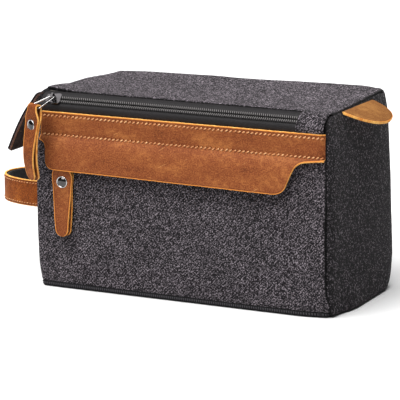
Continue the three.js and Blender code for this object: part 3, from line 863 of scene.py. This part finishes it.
def stitch_row(name, places, length, radius, slant, blend=None, thread=None):
    """Thick thread: one bead and a dark disc of painted shade in its needle hole for each (point,
    direction, outward)
    """
    points, faces, flats, shade_discs = [], [], [], []
    lean = math.radians(slant)
    body = None if blend else "body"
    for n, (spot, step, up) in enumerate(places):
        spot, step, up = Vector(spot), Vector(step).normalized(), Vector(up).normalized()
        side = up.cross(step)
        turn = lean * (1 + 0.25 * wave(n * 3.1, 0, 1, 81.5))
        line = step * math.cos(turn) + side * math.sin(turn)
        base = len(points)
        points += bead(spot, line, up, length, radius)
        flats += [(n * 3.3 + t * length / 2, k * 0.4) for t in BEAD_RINGS for k in range(BEAD_SIDES)]
        for j in range(len(BEAD_RINGS) - 1):
            for k in range(BEAD_SIDES):
                a, b, on = base + j * BEAD_SIDES, base + (j + 1) * BEAD_SIDES, (k + 1) % BEAD_SIDES
                faces.append((a + k, b + k, b + on, a + on))
        # A dark disc of painted shade where the thread enters the leather
        hole = spot + line * (length / 2 + 0.35) + up * 0.06
        for k in range(8):
            a = math.tau * k / 8
            shade_discs.append(hole + step * 0.5 * math.cos(a) + side * 0.75 * math.sin(a))
    row = mesh_object(name, points, faces, flats)
    finish(row, "canvas" if thread else "leather", [thread or THREAD], body)
    pieces = [row]
    if not thread:
        rims = [tuple(range(k, k + 8)) for k in range(0, len(shade_discs), 8)]
        dots = mesh_object(name + "_holes", shade_discs, rims)
        finish(dots, "leather", [HOLE_SHADE], body)
        pieces.append(dots)
    if blend:
        for piece in pieces:
            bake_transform(piece)


def strip_stitches():
    surface = STRIP_FACE + 0.33
    for name, z, rise in (("strip_top_stitches", 146.7, 0.5), ("flap_fold_stitches", 130.9, 0.6)):
        line = [(-121.5, surface, z), (127.5, surface, z + rise)]
        places = [(p, d, (0, -1, 0)) for p, d in walk(line, pitch=3.75)]
        stitch_row(name, places, 3.1, 0.6, 33)


# ---- Zips ----
def coil(name, x0, x1, side, centre, tilt, sides=6):
    """One row of the coil: a flattened spiral of nylon wire beside the zip's centre line"""
    pitch, steps_per_turn = 1.8, 10
    y, z = centre
    first, last = round(x0 / pitch), round(x1 / pitch)
    path, crowns = [], []
    for i in range((last - first) * steps_per_turn + 1):
        a = math.tau * i / steps_per_turn
        across = side * (1.8 + 1.5 * math.cos(a))
        out = 0.75 + 0.85 * math.sin(a)
        path.append(((first + i / steps_per_turn + 0.25 * side) * pitch,
                     y + across * math.cos(tilt) - out * math.sin(tilt),
                     z + across * math.sin(tilt) + out * math.cos(tilt)))
        # The crown value marks where the coil material paints its highlight
        crowns.append((math.sin(a), 0))
    return tube(name, path, 0.42, sides, False, crowns)


LOWER_LINE = [(-67.0, 149.6), (-67.75, 152.4), (-67.7, 155.2), (-66.4, 157.1), (-64.5, 158.9)]
UPPER_LINE = [(-63.6, 159.8), (-61.4, 162.0), (-58.6, 163.5), (-54.6, 164.3), (-49.6, 163.7)]
LIP_END = RIGHT - TUCK
OPEN_LEFT, OPEN_MIDDLE, OPEN_RIGHT = -107.5, -10, 86.5


def tape(name, section, x0, x1, count):
    """Zip tape along the bag, following a section of (y, z)"""
    path = smooth([(0, y, z) for y, z in section], 14)

    def place(u, v):
        spot = path[v]
        drop = roll(LIP_END - abs(u), TUCK, 4)
        sag = 0.12 * wave(u, v, 18, 91.5)
        return (u, spot.y + drop * 0.7, spot.z - drop * 0.7 + sag), (u, v * 1.1)

    sheet = grid(name, steps(x0, x1, count), range(15), place)
    return solidify(sheet, 0.8, -1, 0, 0)


def main_zip():
    """Each lip is a left and a right half that meet in the middle"""
    halves = (("left", OPEN_LEFT, OPEN_MIDDLE, -0.1065, -0.062),
              ("right", OPEN_MIDDLE, OPEN_RIGHT, 0.0855, 0.042))
    for row, line, side in (("upper", UPPER_LINE, 1), ("lower", LOWER_LINE, -1)):
        for half, x0, x1, start, end in halves:
            cloth = tape(f"{row}_tape_{half}", line, x0, x1, 50)
            teeth = coil(f"{row}_coil_{half}", x0, x1, side, ZIP, TILT)
            finish(cloth, "zip_tape", [TAPE], None, [row + "_zip_tape"] if half == "left" else ())
            finish(teeth, "zip_coil", [COIL], None, [row + "_zip_teeth"] if half == "left" else ())
            for piece in (cloth, teeth):
                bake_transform(piece)
    both = LOWER_LINE[:-1] + [ZIP] + UPPER_LINE[1:]
    left = tape("left_tape", both, -LIP_END, OPEN_LEFT, 14)
    finish(left, "zip_tape", [TAPE], "body", ["left_tape_end"])
    right = tape("right_tape", both, OPEN_RIGHT, 106, 10)
    finish(right, "zip_tape", [TAPE], "body", ["right_tape_end"])
    for row, side in (("lower", -1), ("upper", 1)):
        teeth = coil("chain_end_" + row, OPEN_RIGHT, 105.5, side, ZIP, TILT)
        finish(teeth, "zip_coil", [COIL], "body")


def end_cover():
    """The canvas patch over the right end of the zip, folded and stitched at its left edge"""
    section = [(-67.6, 150), (-68.5, 152.6), (-68.4, 155.6), (-66.9, 158.4), (-64.9, 161),
               (-62, 163.4), (-58.8, 164.9), (-54.6, 165.5), (-49.6, 164.6)]
    path = smooth([(0, y, z) for y, z in section], 24)

    def place(u, v):
        step = heading(path, v)
        hem = roll(u - 104, 1.0, 1.6)
        seam = roll(LIP_END - u, 2.0, 4.5)
        line = 0.25 * math.exp(-((u - 107.2) / 0.5) ** 2)
        lift = 0.3 + 0.25 * wave(u, v, 7, 93.5) - hem - seam - line
        spot = path[v] + Vector((0, -step.z, step.y)) * lift
        # The top edge's distance runs below zero so the canvas paints a dark line of seam shade under the
        # top canvas's hem
        edge = min(u - 103.6, LIP_END - u, (24 - v) * 0.6 - 0.6)
        return (u + 0.9 * (v / 24) + 0.3 * wave(v, 0, 9, 94.5), spot.y, spot.z), (u + 500, v * 1.1, edge)

    us = [104, 104.3, 104.7, 105.2, 106, 106.8, 107.2, 107.6] + steps(108.5, 123, 8) + [
        124.5, 125.7, 126.7, 127.4, 128]
    sheet = grid("zip_end_canvas", us, range(25), place)
    finish(sheet, "canvas", [CANVAS], "body", ["zip_end_cover"])
    places = []
    for p, d in walk([path[i] + Vector((107.2 + 0.9 * i / 24, 0, 0)) for i in range(2, 23)], pitch=2.4):
        outward = Vector((0, -d.z, d.y))
        places.append((p + outward * 0.35, d, outward))
    stitch_row("zip_end_stitches", places, 1.7, 0.36, 8, None, BLACK_CLOTH)


def pocket_zip():
    for side, row in ((1, "upper"), (-1, "lower")):
        teeth = coil(f"{row}_pocket_coil", -111, 89, side, (POCKET_Y, POCKET_Z), math.pi / 2, 5)
        finish(teeth, "zip_coil", [COIL], "body", [f"{row}_pocket_teeth"])


def keep_cad(name, material, soften=0.2):
    node = bpy.data.objects[name]
    node.data.materials.clear()
    node.data.materials.append(material)
    if soften:
        worn_edges(node, soften, 3, 40).harden_normals = True


# ---- Rings, pulls and rivets ----
# Each ring hangs from its slider's bail, and the leather folds round the ring's lower end
MAIN_RING = (-114.5, -67.005, 162.305)
MAIN_FOLD = (-122.81, -82.63, 155.6)
POCKET_RING = (-104.5, -67.3, 117)
POCKET_FOLD = (-104.5, -69.6, 106.96)
YAW = math.radians(-28)


def ring(name, start, end, across, body, node):
    """A wire loop from the slider's bail at start to the leather's fold at end"""
    start, end, across = Vector(start), Vector(end), Vector(across).normalized()
    down = end - start
    length = down.length
    down.normalize()
    top, low = 3.0, 7.2
    half = [(0, -0.1), (top - 1.2, 0), (top - 0.2, 0.5), (top + 0.2, 1.6), (low - 0.5, length - 1.8),
            (low - 0.2, length - 0.7), (low - 1.0, length), (low * 0.5, length), (0, length)]
    loop = half + [(-u, v) for u, v in half[-2:0:-1]]
    path = [start + across * u + down * v for u, v in loop]
    path = smooth(path + path[:1], 110)[:-1]
    wire = tube(name, path, 0.62)
    finish(wire, "hardware", [CHROME], body, [node])


PULL_LENGTH, TIP_RADIUS, RIVET_DROP = 61, 5.8, 15
PARTED = 1.5                  # how far the two layers part below the rivet


def bowed(bow, drop):
    return bow * math.sin(math.pi * clamp(drop / 64, 0, 1) ** 1.25)


def pull_side(bow):
    """The folded strip's side view: (forward, down), front layer then back layer"""
    front, back = [], []
    for drop in (61, 60.7, 60, 58.8, 57, 54, 50, 46, 42, 38, 34, 30, 26, 22, 18, 15, 12, 9.5, 7, 5, 3, 1.5):
        gap = 0.85 + 1.55 * ease((13 - drop) / 11)
        part = PARTED * ease((drop - 20) / 30)
        ahead = gap + part + bowed(bow, drop)
        front.append((ahead, -drop))
        back.append((ahead - 2 * gap - part, -drop))
    loop = [(2.4 * math.cos(a), 2.1 * math.sin(a)) for a in steps(0.15, math.pi - 0.15, 12)]
    return front + loop + back[::-1]


def pull_width(drop):
    """Half the strip's width: a neck at the fold, then a taper to a round tip"""
    half = 9.3 - 3.5 * clamp((drop - 11) / 45, 0, 1)
    if drop < 12:
        return min(6 + 3.3 * ease((drop - 1) / 9), half)
    tip = drop - (PULL_LENGTH - TIP_RADIUS)
    return half * math.sqrt(max(0.004, 1 - (tip / (TIP_RADIUS + 0.05)) ** 2)) if tip > 0 else half


def folded_strip(name, fold, across, forward, bow):
    side = pull_side(bow)
    path = [fold + forward * f + Vector((0, 0, d)) for f, d in side]
    run = distances(path)

    def place(u, i):
        drop = max(0, -side[i][1])
        half = pull_width(drop)
        aside = 1.3 * ease((drop - 18) / 20) if i > len(path) / 2 else 0
        rough = 0.12 * wave(run[i], u, 1.7, 73.5) * abs(u) ** 6
        return path[i] + across * (u * half + rough + aside), (u * half, run[i], half * (1 - abs(u)))

    return grid(name, ACROSS, range(len(path)), place)


RIVET_PARTS = (
    # name, profile of (radius, height), material
    ("cap", [(0.01, 1.5), (1.2, 1.44), (2.3, 1.24), (3.2, 0.92), (3.8, 0.58), (4.15, 0.3)], DARKENED_CHROME),
    ("collar", [(4.1, 0.3), (4.3, 0.5), (4.6, 0.58), (4.9, 0.44), (5.0, 0.14), (4.9, -0.15), (3.8, -0.15)],
     CHROME),
    ("back_cap", [(0.01, -0.5), (2.6, -0.48), (3.6, -0.36), (4.0, -0.1), (4.0, 0.15), (2.5, 0.15)], CHROME),
)


def pull(zip_name, fold, yaw, bow, material):
    """A folded leather pull with its rivet, hanging from the fold"""
    name, body = zip_name + "_leather_pull", zip_name + "_pull"
    fold = Vector(fold)
    across = Vector((math.cos(yaw), math.sin(yaw), 0))
    forward = Vector((math.sin(yaw), -math.cos(yaw), 0))
    leather = folded_strip(name, fold, across, forward, bow)
    solidify(leather, 1.3, 0, 1, 0.35)
    finish(leather, "leather", [material, RAW_EDGE], body, [body])
    seat = 0.85 + 0.65 + bowed(bow, RIVET_DROP)
    for part, profile, metal in RIVET_PARTS:
        offset = seat - 3 if part == "back_cap" else seat

        def place(x, y, h):
            return fold + across * x + Vector((0, 0, y - RIVET_DROP)) + forward * (offset + h)

        piece = lathe(f"{name}_{part}", profile, place)
        finish(piece, "hardware", [metal], body, [body + "_rivet"] if part == "cap" else ())


def rings_and_pulls():
    across = (math.cos(YAW), math.sin(YAW), 0)
    ring("main_ring", MAIN_RING, MAIN_FOLD, across, "main_ring", "main_pull_ring")
    ring("pocket_ring", POCKET_RING, POCKET_FOLD, (1, 0, 0), "pocket_pull", "pocket_pull_ring")
    pull("main", MAIN_FOLD, YAW, 5, PULL_LEATHER)
    pull("pocket", POCKET_FOLD, 0, 0.3, LEATHER)


# ---- Handle, tail and tab ----
def handle():
    root = LEFT - 4.9
    points = [(root, FRONT + 11, 0), (root, FRONT + 17, 0)]
    for i in range(17):
        angle = -math.pi / 2 + math.pi * i / 16
        spread = 1 - 0.16 * abs(math.sin(angle)) ** 6
        points.append((root - 3.8 - 51.6 * math.cos(angle) * spread, -9 + 34.5 * math.sin(angle), 0))
    points += [(root, BACK - 30, 0), (root, BACK - 18, 0)]
    path = smooth(points, 150)
    middle = 73.5

    def outward(i):
        step = heading(path, i)
        return Vector((-step.y, step.x, 0))

    def level(p):
        """The loop dips a little at its far end"""
        return middle - 0.4 - 1.2 * clamp((LEFT - 8 - p.x) / 50, 0, 1)

    strap_path = [p + Vector((0, 0, level(p))) for p in path]
    leather = strap("side_handle", strap_path, (0, 0, 1), lambda share: 11.3)
    solidify(leather, 2, 0, 1, 0.5)
    bend = ((-0.139, -0.009, 0.0735), (-0.148, -0.009, 0.0735))
    finish(leather, "leather", [HANDLE_LEATHER, RAW_EDGE], None,
           ["handle_strap", "handle_front_foot", "handle_back_foot"])
    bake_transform(leather)
    inner = [(i, p) for i, p in enumerate(strap_path) if p.x < LEFT - 8]
    lining_path = [p - outward(i) * 1.75 for i, p in inner]
    cloth = strap("handle_loop_lining", lining_path, (0, 0, 1), lambda share: 10.1)
    solidify(cloth, 1, 0, 0, 0.2)
    finish(cloth, "black_cloth", [BLACK_CLOTH], None, ["handle_lining"])
    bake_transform(cloth)
    for name, height in (("handle_upper_stitches", 8.8), ("handle_lower_stitches", -8.8)):
        line = [strap_path[i] + outward(i) * 1.02 + Vector((0, 0, height)) for i in range(2, 148)]
        rows = []
        for p, d in walk(line, pitch=3.1):
            up = Vector((-d.y, d.x, 0)).normalized()
            rows.append((p - up * 0.18, d, up))
        stitch_row(name, rows, 2.3, 0.4, 12, ("body", "handle", *bend))


def tail():
    """The main zip's loose tail: canvas outside, leather inside"""
    line = smooth([(-127.5, -49, 163.8), (-132.6, -49, 161.2), (-137, -49, 155.3), (-144, -49, 146),
                   (-152, -49, 131.5), (-160.9, -49, 111.8)], 60)

    def outward(i):
        step = heading(line, i)
        return Vector((step.z, 0, -step.x))

    def width(share):
        return 12 - 2.6 * clamp((share - 0.94) / 0.06, 0, 1) ** 3

    layers = (("tail_canvas", 1.0, 1.3, CANVAS, "canvas", "zip_tail_canvas", 0),
              ("tail_leather", -0.75, 1.5, DARK_LEATHER, "dark_leather", "zip_tail_leather", 1))
    for name, offset, thick, material, slot, node, rim in layers:
        path = [p + outward(i) * (offset * ease(i / 5)) for i, p in enumerate(line)]
        sheet = strap(name, path, (0, 1, 0), width)
        solidify(sheet, thick, 0, rim, 0.35)
        finish(sheet, slot, [material] + [DARK_EDGE] * rim, None, [node])
        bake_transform(sheet)


def tab():
    """A half-round tongue of leather caught in the right end's top seam"""
    outline = bezier(((0, -32), (16, -30.5), (28.5, -24), (28.5, -3)), 20)
    outline += bezier(((28.5, -3), (28.5, 16), (15, 28), (0, 30)), 20)[1:]
    droop = math.radians(19)

    def place(i, v):
        tip = outline[i]
        reach, y = tip.x, tip.y
        run = -3 + (reach + 3) * v
        edge = (1 - v) * (reach + 3)
        crown = 0.9 * (1 - (y / 32) ** 2) * ease(run / 12) * ease((34 - run) / 20)
        fuzz = 0.35 * wave(y, run, 1.8, 75.5) * v ** 8
        x = RIGHT + 1.1 + (run + fuzz) * math.cos(droop)
        z = TOP - 3.2 - max(0, run) * math.sin(droop) + crown
        return (x, y * (0.97 + 0.03 * v), z), (run, y, edge)

    rows = [0, 0.08, 0.16, 0.25, 0.35, 0.45, 0.55, 0.65, 0.75, 0.84, 0.91, 0.96, 1]
    sheet = grid("grab_tab", range(len(outline)), rows, place)
    solidify(sheet, 2.1, 0, 1, 0.5)
    finish(sheet, "leather", [TAB_LEATHER, RAW_EDGE], None, ["right_tab"])
    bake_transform(sheet)


# ---- Stage ----
def floor():
    far = 6000
    corners = [(-far, -far, 0), (far, -far, 0), (far, far, 0), (-far, far, 0)]
    obj = mesh_object("floor", corners, [(0, 1, 2, 3)])
    s = Shader("floor_paint", "object")
    color = s.mix(s.noise(900, 2), rgb(200, 200, 200), rgb(203, 203, 203))
    obj.data.materials.append(s.set(color=color, rough=0.9, specular=0.1))


def soft_sun(name, toward, strength, spread):
    """A wide even light that comes from the direction toward"""
    data = bpy.data.lights.new(name, "SUN")
    data.energy = strength
    data.angle = math.radians(spread)
    add_object(name, data).rotation_euler = Vector(toward).to_track_quat("Z", "Y").to_euler()


def studio():
    world = bpy.data.worlds.new("studio")
    world.use_nodes = True
    sky = world.node_tree.nodes["Background"]
    sky.inputs["Color"].default_value = (1, 1, 1, 1)
    sky.inputs["Strength"].default_value = 0.1
    bpy.context.scene.world = world
    soft_sun("key", (-0.16, -0.6, 0.78), 3.9, 50)
    soft_sun("top", (-0.15, -0.1, 0.98), 4.4, 60)
    bpy.context.scene.view_settings.view_transform = "Standard"


def camera():
    azimuth, rise, distance = math.radians(25.45), math.radians(12.42), 2.0914
    target = Vector((-0.00835, -0.007, 0.07305))
    back = Vector((math.sin(azimuth) * math.cos(rise), -math.cos(azimuth) * math.cos(rise), math.sin(rise)))
    data = bpy.data.cameras.new("camera")
    data.lens = 224.95
    data.sensor_width = 36
    data.clip_start, data.clip_end = 0.05, 30
    obj = add_object("camera", data)
    obj.location = target + back * distance
    obj.rotation_euler = (-back).to_track_quat("-Z", "Y").to_euler()
    bpy.context.scene.camera = obj


def build():
    base_board()
    front_panel()
    end_panel(1, 5, "right_end_canvas", "right_end_panel")
    end_panel(-1, 2, "left_end_canvas", "left_end_panel")
    wrap_panel()
    base_welt()
    bottom_panel()
    lining()
    strip_and_flap()
    strip_stitches()
    main_zip()
    end_cover()
    pocket_zip()
    rings_and_pulls()
    handle()
    tail()
    tab()
    keep_cad("pocket_pouch", CAD_LINING, 0)
    keep_cad("upper_pocket_tape", CAD_TAPE)
    keep_cad("lower_pocket_tape", CAD_TAPE)
    keep_cad("main_slider", GUNMETAL, 0.25)
    keep_cad("pocket_slider", GUNMETAL, 0.25)


build()
floor()
studio()
camera()
